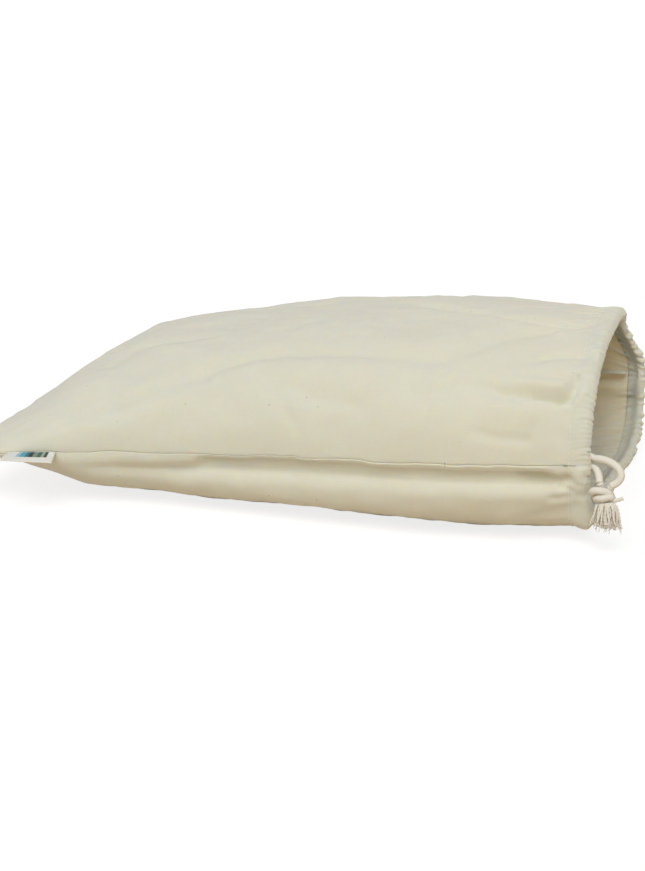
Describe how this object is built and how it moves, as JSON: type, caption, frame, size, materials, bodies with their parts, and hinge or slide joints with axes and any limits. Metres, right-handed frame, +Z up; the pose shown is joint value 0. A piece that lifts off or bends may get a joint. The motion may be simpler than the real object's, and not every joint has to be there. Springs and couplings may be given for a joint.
{
  "type": "drawstring bag",
  "caption": "Natural cotton drawstring bag lying filled out on a surface, its gathered mouth held open, with a cord in the casing, knotted and tasselled where it comes out at the side.",
  "frame": {"origin": "point on the surface that the bag rests on, under the middle of its length and width", "axes": "+X along the bag from its closed end to its mouth, +Z up, -Y towards the side seam where the cord comes out"},
  "size_m": [0.4137, 0.2973, 0.1144],
  "materials": {
    "cotton_cloth": "matt unbleached plain weave with small slubs and flecks",
    "cotton_cord": "matt braided cotton",
    "label_tape": "smooth woven tape with plain coloured bands"
  },
  "bodies": {
    "root": {"upper_panel": "cotton_cloth", "lower_panel": "cotton_cloth", "drawstring": "cotton_cord", "knot": "cotton_cord", "tassel": "cotton_cord", "label": "label_tape"}
  },
  "joints": []
}
